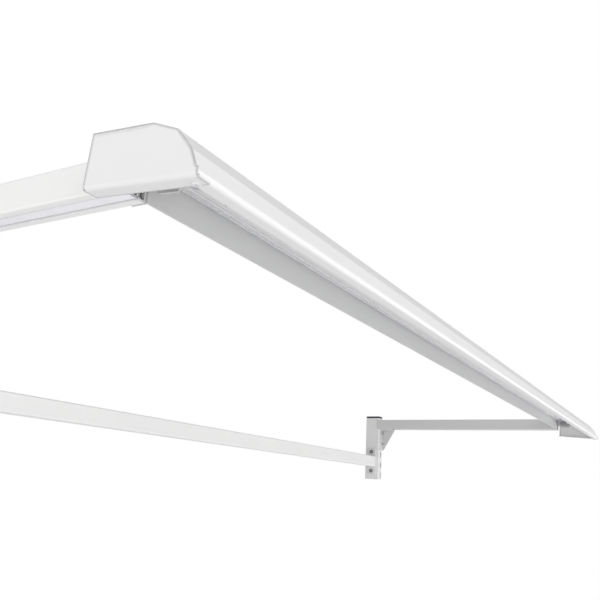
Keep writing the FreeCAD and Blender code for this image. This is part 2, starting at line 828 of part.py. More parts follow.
def make_tilt_bracket(name, side):
    """A tongue against the arm's inner wall, with a flange under the arm's web."""
    body = new_body(name)
    middle = (TONGUE_OUTER + TONGUE_INNER) / 2
    bind_place(body, middle * side, PIVOT_Y, PIVOT_Z)
    rear = d.pivot_forward + d.bracket_length
    neck = d.pivot_forward + d.arm_setback + d.hole_gap
    top = BRACKET_TOP - PIVOT_Z
    low = d.bracket_foot - d.pivot_rise
    tongue = new_sketch(body, "YZ_Plane")
    add_outline(tongue, (
        (ZERO, -d.tongue_radius), (neck, -d.tongue_radius), (neck, low), (rear, low),
        (rear, top), (neck, top), (neck, d.tongue_radius), (ZERO, d.tongue_radius),
    ))
    pad(body, tongue, d.tongue_sheet)
    nose = new_sketch(body, "YZ_Plane")
    add_circle(nose, ZERO, ZERO, d.tongue_radius)
    pad(body, nose, d.tongue_sheet)
    flange = new_sketch(body, "XY_Plane", top - d.tongue_sheet / 2)
    start = d.tongue_sheet / 2 * -side
    reach = ARM_INSIDE - d.seat_gap - d.tongue_sheet / 2 - d.bracket_flange_gap
    first = BRACKET_SCREW_Y - PIVOT_Y
    add_box(flange, start, reach * side, first - d.bracket_screw_pitch / 2, rear)
    for number in range(2):
        y = first + d.bracket_screw_pitch * number
        add_circle(flange, (ARM_X - middle) * side, y, d.five_radius + d.thread_gap)
    pad(body, flange, d.tongue_sheet)
    holes = new_sketch(body, "YZ_Plane")
    add_circle(holes, ZERO, ZERO, d.stud_radius + d.thread_gap)
    add_circle(holes, d.lock_distance, ZERO, d.five_radius + d.thread_gap)
    for number in range(2):
        z = beam_screw_z(number) - PIVOT_Z
        add_circle(holes, BEAM_SCREW_Y - PIVOT_Y, z, d.four_radius + d.hole_gap)
    pocket(body, holes, d.tongue_sheet * 2)


def make_arm_cover(name, side):
    """A strip recessed between the lips, with wings that lie on the lips."""
    body = new_body(name)
    front = ARM_FRONT + d.seat_gap
    bind_place(body, ARM_X * side, ZERO, d.arm_bottom)
    half = ARM_MOUTH / 2 - d.cover_side_gap
    wing = ARM_MOUTH / 2 + d.cover_lap
    wing_low = d.arm_wall + d.seat_gap
    wing_top = wing_low + d.cover_wing_thickness
    section = new_sketch(body, "XZ_Plane", (front + COVER_REAR) / 2)
    add_outline(section, (
        (-half, d.cover_recess), (half, d.cover_recess), (half, wing_low), (wing, wing_low),
        (wing, wing_top), (-wing, wing_top), (-wing, wing_low), (-half, wing_low),
    ))
    pad(body, section, COVER_REAR - front)


# Pivot hardware

def pivot_place(x):
    return (x, PIVOT_Y, PIVOT_Z)


def make_pivot_stud(name, side):
    """A hollow stud, head outside the tongue, so that the lead can follow the tilt axis."""
    inward = (-side, 0, 0)
    outward = (side, 0, 0)
    end = pivot_place(STUD_TAIL_X * side)
    head = pivot_place((TONGUE_OUTER + d.thread_gap) * side)
    shank = cylinder(f"{name}_shank", head, inward, d.stud_radius, STUD_LENGTH)
    cap = hexagon(f"{name}_head", head, outward, d.stud_head_radius, d.stud_head_height)
    bore_start = along(end, inward, d.overrun)
    length = STUD_LENGTH + d.stud_head_height + d.overrun * 2
    bore = cylinder(f"{name}_bore", bore_start, outward, d.stud_bore, length)
    cut(name, [shank, cap], [bore])


STUD_TAIL_X = EAR_INNER - d.seat_gap - d.stud_nut_height - d.stud_tail
STUD_LENGTH = TONGUE_OUTER + d.thread_gap - STUD_TAIL_X


def make_rings(name, starts, direction_of, radius, height, bore, shape):
    """Identical washers or nuts, each with a bore right through."""
    solids = []
    bores = []
    for number, start in enumerate(starts, start=1):
        direction = direction_of(start)
        solids.append(shape(f"{name}_{number}_ring", start, direction, radius, height))
        behind = along(start, opposite(direction), d.overrun)
        bores.append(
            cylinder(f"{name}_{number}_bore", behind, direction, bore, height + d.overrun * 2)
        )
    return cut(name, solids, bores)


def make_pivot_washers(name):
    starts = both_sides([pivot_place(EAR_OUTER + d.seat_gap)])
    bore = d.stud_radius + d.thread_gap
    make_rings(name, starts, outward_x, d.washer_radius, d.washer_thickness, bore, cylinder)


def make_pivot_nuts(name):
    starts = both_sides([pivot_place(EAR_INNER - d.seat_gap)])
    bore = d.stud_radius + d.thread_gap
    make_rings(name, starts, inward_x, d.stud_nut_radius, d.stud_nut_height, bore, hexagon)


def make_lock_knobs(name):
    """Knobs whose screws pass the arc slots of the hangers and thread into the tongues."""
    solids = []
    sockets = []
    y = PIVOT_Y + d.lock_distance
    for label, side in SIDES:
        inward = (-side, 0, 0)
        outward = (side, 0, 0)
        seat = ((EAR_INNER - d.seat_gap) * side, y, PIVOT_Z)
        length = TONGUE_OUTER - EAR_INNER + d.seat_gap
        solids.append(cylinder(f"{name}_{label}_screw", seat, outward, d.five_radius, length))
        knob = cone(
            f"{name}_{label}_knob", seat, inward, d.knob_radius * DOME_TOP_SHARE,
            d.knob_radius, d.knob_height,
        )
        solids.append(knob)
        depth = d.knob_height / 2
        floor = along(seat, inward, d.knob_height - depth)
        radius = d.knob_radius * SOCKET_SHARE
        sockets.append(hexagon(f"{name}_{label}_socket", floor, inward, radius, depth + d.overrun))
    cut(name, solids, sockets)


# Fasteners of the frame

def make_crossbar_screws(name):
    places = [
        (CROSSPLATE_INNER, POST_CENTRE_Y, d.crossplate_bolt_spacing / 2 * up) for up in (-1, 1)
    ]
    screws(
        name, both_sides(places), outward_x, d.eight_radius, d.eight_head,
        d.eight_head_height, d.crossbar_screw_length,
    )


def make_rivet_nuts(name, starts, direction_of):
    """Blind rivet nuts: a body through the wall and a collar pulled up behind it."""
    solids = []
    bores = []
    for number, start in enumerate(starts, start=1):
        direction = direction_of(start)
        label = f"{name}_{number}"
        behind = along(start, direction, d.post_wall + d.seat_gap)
        solids.append(
            cylinder(f"{label}_body", start, direction, d.rivet_nut_radius, d.rivet_nut_length)
        )
        solids.append(cylinder(
            f"{label}_collar", behind, direction, d.rivet_nut_collar, d.rivet_nut_collar_height
        ))
        outside = along(start, opposite(direction), d.overrun)
        bores.append(cylinder(
            f"{label}_bore", outside, direction, d.eight_radius + d.thread_gap,
            d.rivet_nut_length + d.overrun * 2,
        ))
    cut(name, solids, bores)


def make_crossbar_nuts(name):
    places = [(POST_INNER, POST_CENTRE_Y, d.crossplate_bolt_spacing / 2 * up) for up in (-1, 1)]
    make_rivet_nuts(name, both_sides(places), outward_x)


def make_rear_nuts(name):
    places = [(ARM_X, ZERO, d.rear_bolt_spacing / 2 * up) for up in (-1, 1)]
    make_rivet_nuts(name, both_sides(places), heading(0, -1, 0))


def slot_screw_seats():
    """One screw inside each arm and two through each gusset, all in the post's slots."""
    seats = []
    for _, side in SIDES:
        seats.append((slot_x(side), POST_FRONT - d.end_plate_thickness, TOP_SLOT))
        for number in (1, 2):
            z = TOP_SLOT - d.slot_pitch * number
            seats.append((slot_x(side), POST_FRONT - d.gusset_sheet, z))
    return seats


def make_slot_screws(name):
    screws(
        name, slot_screw_seats(), heading(0, 1, 0), d.six_radius, d.six_head,
        d.six_head_height, d.slot_screw_length,
    )


def make_slot_nuts(name):
    """Square nuts behind the post's front wall."""
    solids = []
    bores = []
    half = d.slot_nut_side / 2
    front = POST_FRONT + d.post_wall + d.seat_gap
    for number, (x, _, z) in enumerate(slot_screw_seats(), start=1):
        low = (x - half, front, z - half)
        high = (x + half, front + d.slot_nut_height, z + half)
        solids.append(box(f"{name}_{number}_square", low, high))
        start = (x, front - d.overrun, z)
        bore = d.six_radius + d.thread_gap
        length = d.slot_nut_height + d.overrun * 2
        bores.append(cylinder(f"{name}_{number}_bore", start, (0, 1, 0), bore, length))
    cut(name, solids, bores)


def make_rail_screws(name):
    seats = both_sides([(ARM_X, RAIL_SCREW_Y, d.arm_bottom - d.gusset_sheet)])
    screws(
        name, seats, heading(0, 0, 1), d.six_radius, d.six_head,
        d.six_head_height, d.rail_screw_length,
    )


def make_rail_nuts(name):
    """Plates that lie on the arm's lips and take the rail screws."""
    solids = []
    bores = []
    low_z = d.arm_bottom + d.arm_wall + d.seat_gap
    half = ARM_INSIDE / 2 - d.rail_nut_side_gap
    for number, (_, side) in enumerate(SIDES, start=1):
        centre = ARM_X * side
        low = (centre - half, RAIL_NUT_FRONT, low_z)
        high = (
            centre + half, RAIL_SCREW_Y + d.rail_nut_length / 2, low_z + d.rail_nut_height,
        )
        solids.append(box(f"{name}_{number}_plate", low, high))
        start = (centre, RAIL_SCREW_Y, low_z - d.overrun)
        bore = d.six_radius + d.thread_gap
        length = d.rail_nut_height + d.overrun * 2
        bores.append(cylinder(f"{name}_{number}_bore", start, (0, 0, 1), bore, length))
    cut(name, solids, bores)


def make_bracket_screws(name):
    places = [
        (ARM_X, BRACKET_SCREW_Y + d.bracket_screw_pitch * number, ARM_TOP) for number in range(2)
    ]
    screws(
        name, both_sides(places), heading(0, 0, -1), d.five_radius, d.five_head,
        d.five_head_height, d.bracket_screw_length,
    )


def make_beam_screws(name):
    places = [(TONGUE_OUTER, BEAM_SCREW_Y, beam_screw_z(number)) for number in range(2)]
    screws(
        name, both_sides(places), inward_x, d.four_radius, d.four_head,
        d.four_head_height, d.beam_screw_length,
    )


def make_beam_nuts(name):
    x = BEAM_HALF - d.beam_sheet - d.seat_gap
    starts = both_sides([(x, BEAM_SCREW_Y, beam_screw_z(number)) for number in range(2)])
    bore = d.four_radius + d.thread_gap
    make_rings(name, starts, inward_x, d.beam_nut_radius, d.beam_nut_height, bore, hexagon)


# Gland and leads

LEAD_X = (TONGUE_OUTER + d.stud_head_height + d.lead_bend + d.seat_gap * 2) * NEAR
GLAND_X = LEAD_X
GLAND_Y = RAIL_NUT_FRONT - d.gland_gap
LEAD_RISE_Y = PIVOT_Y + d.lead_rise_behind


def make_cable_gland(name):
    """The gland on top of the near arm and its locknut under the web."""
    up = (0, 0, 1)
    top = (GLAND_X, GLAND_Y, ARM_TOP)
    web_low = ARM_TOP - d.arm_wall
    tail = (GLAND_X, GLAND_Y, web_low - d.gland_nut_height - d.gland_tail)
    dome = (GLAND_X, GLAND_Y, ARM_TOP + d.gland_hex_height)
    tail_length = d.arm_wall + d.gland_nut_height + d.gland_tail
    solids = [
        hexagon(f"{name}_hexagon", top, up, d.gland_hex_radius, d.gland_hex_height),
        cone(
            f"{name}_dome", dome, up, d.gland_dome_radius,
            d.gland_dome_radius * DOME_TOP_SHARE, d.gland_dome_height,
        ),
        cylinder(f"{name}_thread", tail, up, d.gland_radius, tail_length),
    ]
    start = (GLAND_X, GLAND_Y, web_low - d.gland_nut_height - d.gland_tail - d.overrun)
    length = tail_length + d.gland_hex_height + d.gland_dome_height + d.overrun * 2
    bore = cylinder(f"{name}_bore", start, up, d.lead_radius + d.thread_gap, length)
    cut(name, solids, [bore])


def make_gland_nut(name):
    start = (GLAND_X, GLAND_Y, ARM_TOP - d.arm_wall - d.seat_gap)
    bore = d.gland_radius + d.thread_gap
    make_rings(
        name, [start], heading(0, 0, -1), d.gland_hex_radius, d.gland_nut_height, bore, hexagon
    )


def make_tube(corners, bend, radius):
    """A round tube along straight runs joined by tangent arcs of one radius."""
    edges = []
    start = corners[0]
    for before, corner, after in zip(corners, corners[1:], corners[2:]):
        into = (corner - before).normalize()
        out = (after - corner).normalize()
        half_turn = into.getAngle(out) / 2
        cut_back = bend * math.tan(half_turn)
        arc_start = corner - into * cut_back
        arc_end = corner + out * cut_back
        towards = (out - into).normalize()
        middle = corner + towards * (bend / math.cos(half_turn) - bend)
        edges.append(Part.LineSegment(start, arc_start).toShape())
        edges.append(Part.Arc(arc_start, middle, arc_end).toShape())
        start = arc_end
    edges.append(Part.LineSegment(start, corners[-1]).toShape())
    path = Part.Wire(edges)
    ring = Part.Wire([Part.Circle(corners[0], corners[1] - corners[0], radius).toShape()])
    tube = path.makePipeShell([ring], True, True)
    share = tube.Volume / (path.Length * math.pi * radius ** 2)
    print("tube bend", bend, "volume share of section times length", round(share, 4))
    return tube


def vector(*sizes):
    return FreeCAD.Vector(*(number_of(size) for size in sizes))


def make_arm_lead(name):
    """From the gland down into the near arm, forward, and through the hollow stud."""
    stud_end = STUD_TAIL_X * NEAR
    low = d.arm_bottom + d.lead_low
    corners = [
        vector(LEAD_X, GLAND_Y, ARM_TOP + d.gland_hex_height),
        vector(LEAD_X, GLAND_Y, low),
        vector(LEAD_X, LEAD_RISE_Y, low),
        vector(LEAD_X, LEAD_RISE_Y - d.lead_rise_length, PIVOT_Z),
        vector(LEAD_X, PIVOT_Y, PIVOT_Z),
        vector(stud_end, PIVOT_Y, PIVOT_Z),
    ]
    item = doc.addObject("Part::Feature", name)
    item.Shape = make_tube(corners, d.lead_bend.number, d.lead_radius.number)
    item.Placement = FreeCAD.Placement()
    keep(item, name)


def make_hood_lead(name):
    """From the end of the hollow stud round the carrier's end to the terminal block."""
    start_x = (STUD_TAIL_X - d.seat_gap) * NEAR
    turn_x = start_x + d.lead_bend + d.seat_gap
    end_x = (TERMINAL_X + d.terminal_length / 2 + d.seat_gap) * NEAR
    corners = [
        vector(start_x, ZERO, ZERO),
        vector(turn_x, ZERO, ZERO),
        vector(turn_x, BOARD_Y, ZERO),
        vector(end_x, BOARD_Y, ZERO),
    ]
    item = doc.addObject("Part::Feature", name)
    item.Shape = make_tube(corners, d.lead_bend.number, d.lead_radius.number)
    put_on_hood(item)
    keep(item, name)


# Hood pieces

def hood_body(name, x=ZERO):
    body = new_body(name)
    put_on_hood(body, x)
    return body


def sheet_outline(sketch, points, thickness):
    """A folded sheet: an outer line through points and an inner line one thickness away.

    The sheet lies to the left of the direction in which the points run.
    """
    outer = [vector(y, z, ZERO) for y, z in points]
    inner = offset_line(outer, thickness.number)
    first = len(sketch.Geometry)
    ring = outer + inner[::-1]
    for start, end in zip(ring, ring[1:] + ring[:1]):
        sketch.addGeometry(Part.LineSegment(start, end), False)
    count = len(ring)
    for index in range(count):
        following = first + (index + 1) % count
        sketch.addConstraint(Sketcher.Constraint("Coincident", first + index, 2, following, 1))
    for index, (y, z) in enumerate(points):
        hold_point(sketch, first + index, 1, y, z)
    runs = len(points) - 1
    for index in range(runs):
        outside = first + index
        inside = first + count - 2 - index
        sketch.addConstraint(Sketcher.Constraint("Parallel", outside, inside))
        constraint = Sketcher.Constraint("Distance", inside, 1, outside, thickness.number)
        place = sketch.addConstraint(constraint)
        sketch.setExpression(f"Constraints[{place}]", thickness.text)
    sketch.addConstraint(Sketcher.Constraint("Perpendicular", first, first + count - 1))
    sketch.addConstraint(Sketcher.Constraint("Perpendicular", first + runs - 1, first + runs))
    return inner


def offset_line(points, distance):
    """The line of a folded sheet's other face, to the left of a line of points."""
    lefts = []
    for start, end in zip(points, points[1:]):
        along_run = (end - start).normalize()
        lefts.append(FreeCAD.Vector(-along_run.y, along_run.x, 0))
    moved = [points[0] + lefts[0] * distance]
    for point, before, after in zip(points[1:], lefts, lefts[1:]):
        mitre = (before + after).normalize()
        moved.append(point + mitre * (distance / mitre.dot(before)))
    moved.append(points[-1] + lefts[-1] * distance)
    return moved


def bend_edges(body, axis, points, thickness, radii):
    """Round each fold of a sheet: the hollow side first, then the outer side."""
    outer = [vector(y, z, ZERO) for y, z in points]
    inner = offset_line(outer, thickness.number)
    for index, radius in radii:
        turn = (outer[index] - outer[index - 1]).cross(outer[index + 1] - outer[index])
        hollow, bulge = (inner, outer) if turn.z > 0 else (outer, inner)
        for place, bend in ((hollow[index], radius), (bulge[index], radius + thickness)):
            fillet(body, bend, axis, ((place.x, place.y),))


def fold_hood(name):
    """Roof, shoulder, brow, fascia and bottom flange, folded in one line."""
    body = hood_body(name)
    points = (
        (SHELL_REAR, d.hood_roof_height), (ROOF_FRONT, d.hood_roof_height),
        (SHOULDER_Y, SHOULDER_Z), (BROW_Y, BROW_Z), (FASCIA_Y, HOOD_BOTTOM),
        (FASCIA_Y + d.flange_depth, HOOD_BOTTOM),
    )
    section = new_sketch(body, "YZ_Plane")
    sheet_outline(section, points, d.hood_sheet)
    pad(body, section, SHELL_HALF * 2)
    bend = d.bend_radius
    radii = ((1, bend), (2, bend), (3, bend), (4, d.edge_bend_radius))
    bend_edges(body, ALONG_X, points, d.hood_sheet, radii)
    return body


def part_hood(body, front, rear):
    """Keep only the sheet between two places across the hood."""
    for start, end in ((FASCIA_Y - d.overrun, front), (rear, d.hood_rear + d.overrun)):
        away = new_sketch(body, "YZ_Plane")
        add_box(away, start, end, CAP_BOTTOM, d.hood_roof_height + d.overrun)
        pocket(body, away, HOOD_HALF * 2)


# The folded sheet is parted in two bends, where its cut faces meet

def make_hood_roof(name):
    """The sheet behind the middle of the bend between roof and shoulder."""
    body = fold_hood(name)
    part_hood(body, ROOF_FRONT, d.hood_rear)
    roof = new_sketch(body, "XY_Plane", d.hood_roof_height - d.hood_sheet / 2)
    for x, y in hanger_screw_places():
        add_circle(roof, x, y, d.five_radius + d.hole_gap)
    for x, y in carrier_screw_places() + cap_screw_places():
        add_circle(roof, x, y, d.four_radius + d.hole_gap)
    pocket(body, roof, d.hood_sheet * 2)


def make_hood_shoulder(name):
    """The sheet between the middles of the two bends."""
    part_hood(fold_hood(name), SHOULDER_Y, ROOF_FRONT)


def make_hood_front(name):
    """Brow, fascia and flange, in front of the middle of the bend below the shoulder."""
    body = fold_hood(name)
    part_hood(body, FASCIA_Y, SHOULDER_Y)
    flange = new_sketch(body, "XY_Plane", HOOD_BOTTOM + d.hood_sheet / 2)
    for _, side in SIDES:
        x = (HOOD_HALF - d.corner_screw_inset) * side
        add_circle(flange, x, CORNER_SCREW_Y, d.four_radius + d.thread_gap)
    pocket(body, flange, d.hood_sheet * 2)
    add_front_notches(body)


def add_front_notches(body):
    """A notch at each end of the bottom flange clears the bend of the end cap."""
    for side in (NEAR, FAR):
        x = (SHELL_HALF + d.cap_gap - d.notch_width / 2) * side
        notch = new_sketch(body, "YZ_Plane", x)
        front = FASCIA_Y - d.overrun
        rear = FASCIA_Y + d.flange_depth + d.overrun
        add_box(notch, front, rear, CAP_BOTTOM, CAP_BOTTOM + d.notch_height)
        pocket(body, notch, d.notch_width)


def hanger_screw_places():
    middle = (d.hanger_rear - d.hanger_front) / 2
    places = []
    for step in (-1, 1):
        places.append((HANGER_SCREW_X, middle + d.hanger_screw_spacing / 2 * step))
    return [(x * side, y) for _, side in SIDES for x, y in places]


def carrier_screw_places():
    return [(CARRIER_SCREW_PITCH * step, CARRIER_SCREW_Y) for step in CARRIER_STEPS]


def cap_screw_places():
    places = []
    for _, side in SIDES:
        for step in (-1, 1):
            places.append((CAP_SCREW_X * side, d.cap_screw_spacing / 2 * step))
    return places


def make_end_cap(name, side):
    """The end face with a bottom lip, and a return up the rear and under the roof."""
    body = hood_body(name, HOOD_HALF * side)
    sheet = d.hood_sheet
    outer_bend = d.edge_bend_radius + sheet
    face_low = CAP_BOTTOM + outer_bend
    front_low = FASCIA_Y + d.fascia_run * d.edge_bend_radius / FASCIA_DROP
    fold = new_sketch(body, "XZ_Plane", (front_low + d.hood_rear) / 2)
    points = (
        (d.cap_lip * -side, CAP_BOTTOM), (ZERO, CAP_BOTTOM), (ZERO, face_low + outer_bend),
    )[::side]
    sheet_outline(fold, points, sheet)
    pad(body, fold, d.hood_rear - front_low)
    bend_edges(body, ALONG_Y, points, sheet, ((1, d.edge_bend_radius),))
    face = new_sketch(body, "YZ_Plane", sheet / 2 * -side)
    add_outline(face, (
        (d.hood_rear, face_low), (d.hood_rear, d.hood_roof_height),
        (ROOF_FRONT, d.hood_roof_height), (SHOULDER_Y, SHOULDER_Z), (BROW_Y, BROW_Z),
        (front_low, face_low),
    ))
    pad(body, face, sheet)
    returns = new_sketch(body, "YZ_Plane", (sheet + d.cap_return) / 2 * -side)
    top = CEILING - d.seat_gap
    front = d.hood_rear - d.cap_return_depth
    low = CAP_BOTTOM + sheet / 2
    rear_inside = d.hood_rear - sheet
    add_outline(returns, (
        (d.hood_rear, low), (d.hood_rear, top), (front, top), (front, top - sheet),
        (rear_inside, top - sheet), (rear_inside, low),
    ))
    pad(body, returns, d.cap_return - sheet)
    holes = new_sketch(body, "XY_Plane", top - sheet / 2)
    for x, y in cap_screw_places():
        if (x.number > 0) == (side > 0):
            add_circle(holes, x - HOOD_HALF * side, y, d.four_radius + d.thread_gap)
    pocket(body, holes, sheet * 2)
    corner = new_sketch(body, "XY_Plane", CAP_BOTTOM + sheet / 2)
    x = d.corner_screw_inset * -side
    add_circle(corner, x, CORNER_SCREW_Y, d.four_radius + d.hole_gap)
    pocket(body, corner, sheet * 2)


def make_hood_hanger(name, side):
    """A flange under the roof and an ear with the pivot hole and the arc slot."""
    middle = (EAR_OUTER + EAR_INNER) / 2
    body = hood_body(name, middle * side)
    top = CEILING - d.seat_gap
    ear = new_sketch(body, "YZ_Plane")
    add_outline(ear, (
        (-d.hanger_front, top), (d.hanger_rear, top), (d.hanger_rear, top - d.ear_shoulder),
        (d.ear_rear, top - d.ear_shoulder), (d.ear_rear, -d.tongue_radius),
        (d.hanger_rear, -d.ear_low), (-d.ear_shoulder, -d.ear_low),
        (-d.hanger_front, -d.ear_low_front),
    ))
    pad(body, ear, d.hanger_sheet)
    flange = new_sketch(body, "XY_Plane", top - d.hanger_flange_sheet / 2)
    start = d.hanger_sheet / 2 * side
    inner = (d.hanger_sheet / 2 + d.hanger_flange) * -side
    add_box(flange, start, inner, -d.hanger_front, d.hanger_rear)
    for x, y in hanger_screw_places():
        if (x.number > 0) == (side > 0):
            add_circle(flange, x - middle * side, y, d.five_radius + d.thread_gap)
    pad(body, flange, d.hanger_flange_sheet)
    pivot = new_sketch(body, "YZ_Plane")
    add_circle(pivot, ZERO, ZERO, d.stud_radius + d.thread_gap)
    pocket(body, pivot, d.hanger_sheet * 2)
    add_arc_slot(body)


def add_arc_slot(body):
    """The slot that the locking screw follows through the whole tilt."""
    half_width = d.five_radius + d.hole_gap
    sweep = new_sketch(body, "XY_Plane")
    depth = d.hanger_sheet / 2 + d.overrun
    near_edge = d.lock_distance - half_width
    add_box(sweep, -depth, depth, near_edge, d.lock_distance + half_width)
    before = body.Tip.Shape.Volume
    groove = body.newObject("PartDesign::Groove", f"{body.Name}_arc")
    groove.Profile = sweep
    groove.ReferenceAxis = (sweep, ["H_Axis"])
    groove.setExpression("Angle", d.tilt_range.text)
    groove.Reversed = True
    doc.recompute()
    if groove.Shape.Volume > before - d.hanger_sheet.number:
        raise SystemExit("the arc slot cuts nothing")
    ends = new_sketch(body, "YZ_Plane")
    add_circle(ends, d.lock_distance, ZERO, half_width)
    y = Size("(dims.lock_distance * cos(dims.tilt_range))", d.lock_distance.number * RANGE_COS)
    z = Size("(0 - dims.lock_distance * sin(dims.tilt_range))", -d.lock_distance.number * RANGE_SIN)
    add_circle(ends, y, z, half_width)
    pocket(body, ends, d.hanger_sheet * 2)


RANGE_COS = math.cos(math.radians(d.tilt_range.number))
RANGE_SIN = math.sin(math.radians(d.tilt_range.number))


def make_rear_trim(name):
    """A strip along the rear edge of the ceiling, with a ridge and a deeper lip behind it."""
    body = hood_body(name)
    half = HOOD_HALF - d.cap_lip
    strip = new_sketch(body, "YZ_Plane")
    top = CEILING
    low = top - d.trim_base
    add_box(strip, d.trim_front, d.trim_rear, low, top)
    pad(body, strip, half * 2)
    for number, depth in enumerate((d.trim_lip, d.trim_ridge)):
        ridge = new_sketch(body, "YZ_Plane")
        y = d.trim_rear - d.trim_ridge_pitch * number
        add_box(ridge, y - d.trim_ridge_width, y, low - depth, low + d.trim_base / 2)
        pad(body, ridge, half * 2)


def make_led_carrier(name):
    """A folded strip: a flange under the roof, a wall, the base and a front lip."""
    body = hood_body(name)
    points = (
        (-d.carrier_flange_rear, CEILING), (-d.carrier_wall, CEILING),
        (-d.carrier_wall, -d.carrier_base), (-d.carrier_wall - d.carrier_depth, -d.carrier_base),
        (-d.carrier_wall - d.carrier_depth, -d.carrier_base + d.carrier_front_lip),
    )
    section = new_sketch(body, "YZ_Plane")
    sheet_outline(section, points, d.carrier_sheet)
    pad(body, section, CARRIER_HALF * 2)
    holes = new_sketch(body, "XY_Plane", CEILING - d.carrier_sheet / 2)
    for x, y in carrier_screw_places():
        add_circle(holes, x, y, d.four_radius + d.thread_gap)
    pocket(body, holes, d.carrier_sheet * 2)


def board_x(number):
    return BOARD_PITCH * (number - (d.board_count.number - 1) / 2)


def hood_group(name, solids):
    """Identical pieces kept as one node of the hood."""
    group = doc.addObject("Part::Compound", name)
    group.Links = solids
    put_on_hood(group)
    keep(group, name)


def make_led_boards(name):
    """The boards end to end under the carrier."""
    boards = []
    half = d.board_width / 2
    for number in range(int(d.board_count.number)):
        x = board_x(number)
        low = (x - BOARD_LENGTH / 2, BOARD_Y - half, BOARD_LOW)
        high = (x + BOARD_LENGTH / 2, BOARD_Y + half, CARRIER_BASE_LOW)
        boards.append(box(f"{name}_{number + 1}", low, high))
    hood_group(name, boards)


def make_led_chips(name):
    """The chips of all boards, evenly spaced along each board."""
    chips = []
    pitch = BOARD_LENGTH / d.chip_count
    half_width = d.chip_width / 2
    for board in range(int(d.board_count.number)):
        for number in range(int(d.chip_count.number)):
            from_middle = pitch * (number - (d.chip_count.number - 1) / 2)
            x = board_x(board) + from_middle
            low = (x - d.chip_length / 2, BOARD_Y - half_width, BOARD_LOW - d.chip_height)
            high = (x + d.chip_length / 2, BOARD_Y + half_width, BOARD_LOW)
            chips.append(box(f"{name}_{board}_{number}", low, high))
    hood_group(name, chips)


def diffuser_half():
    return CARRIER_HALF - d.diffuser_end_length


def make_diffuser(name):
    """An opal trough under the boards."""
    body = hood_body(name)
    trough = new_sketch(body, "YZ_Plane")
    front = BOARD_Y - DIFFUSER_HALF_Y
    rear = BOARD_Y + DIFFUSER_HALF_Y
    wall = d.diffuser_wall
    add_outline(trough, (
        (rear, DIFFUSER_TOP), (rear, DIFFUSER_LOW), (front, DIFFUSER_LOW),
        (front, DIFFUSER_TOP), (front + wall, DIFFUSER_TOP), (front + wall, DIFFUSER_LOW + wall),
        (rear - wall, DIFFUSER_LOW + wall), (rear - wall, DIFFUSER_TOP),
    ))
    pad(body, trough, diffuser_half() * 2)
    inner = ((front + wall, DIFFUSER_LOW + wall), (rear - wall, DIFFUSER_LOW + wall))
    fillet(body, d.diffuser_corner - wall, ALONG_X, inner)
    fillet(body, d.diffuser_corner, ALONG_X, ((front, DIFFUSER_LOW), (rear, DIFFUSER_LOW)))


def make_diffuser_end(name, side):
    """A moulded piece that closes the trough and holds it to the carrier."""
    middle = CARRIER_HALF - d.diffuser_end_length / 2
    body = hood_body(name, middle * side)
    face = new_sketch(body, "YZ_Plane")
    front = BOARD_Y - DIFFUSER_HALF_Y
    rear = BOARD_Y + DIFFUSER_HALF_Y
    add_box(face, front, rear, DIFFUSER_LOW, DIFFUSER_TOP)
    pad(body, face, d.diffuser_end_length)
    fillet(body, d.diffuser_corner, ALONG_X, ((front, DIFFUSER_LOW), (rear, DIFFUSER_LOW)))
    inset = d.diffuser_wall + d.seat_gap
    plug = new_sketch(body, "YZ_Plane", (d.diffuser_end_length / 2) * -side)
    low = DIFFUSER_LOW + d.diffuser_corner
    top = BOARD_LOW - d.chip_height - d.seat_gap
    add_box(plug, front + inset, rear - inset, low, top)
    pad(body, plug, d.diffuser_end_length)


def make_led_driver(name):
    """A slim driver on the carrier's base, with a screw ear at each end."""
    body = hood_body(name, DRIVER_X * NEAR)
    base = -d.carrier_base
    case = new_sketch(body, "XY_Plane", base + d.driver_height / 2)
    half = d.driver_width / 2
    rear = -d.carrier_wall - d.overrun
    front = rear - d.driver_width
    add_box(case, -d.driver_length / 2, d.driver_length / 2, front, rear)
    pad(body, case, d.driver_height)
    top_z = base + d.driver_height
    chamfer = body.newObject("PartDesign::Chamfer", f"{name}_chamfer")
    names = edges_along(case_pad(body).Shape, ALONG_X, ((front, top_z), (rear, top_z)))
    chamfer.Base = (case_pad(body), names)
    chamfer.setExpression("Size", d.driver_chamfer.text)
    doc.recompute()
    ears = new_sketch(body, "XY_Plane", base + d.driver_ear_thickness / 2)
    reach = d.driver_length / 2 + d.driver_ear
    inset = d.driver_width * EAR_INSET_SHARE
    add_box(ears, -reach, reach, front + inset, rear - inset)
    for step in (-1, 1):
        x = (reach - d.driver_ear / 2) * step
        add_circle(ears, x, (front + rear) / 2, d.four_radius + d.hole_gap)
    pad(body, ears, d.driver_ear_thickness)


def case_pad(body):
    return [item for item in body.Group if item.TypeId == "PartDesign::Pad"][0]


def make_driver_screws(name):
    y = -d.carrier_wall - d.overrun - d.driver_width / 2
    z = d.driver_ear_thickness - d.carrier_base
    reach = d.driver_length / 2 + d.driver_ear / 2
    seats = [(reach * step - DRIVER_X, y, z) for step in (-1, 1)]
    screws(
        name, seats, heading(0, 0, -1), d.four_radius, d.four_head,
        d.four_head_height, d.driver_ear_thickness - d.seat_gap,
    )
    put_on_hood(nodes[-1])


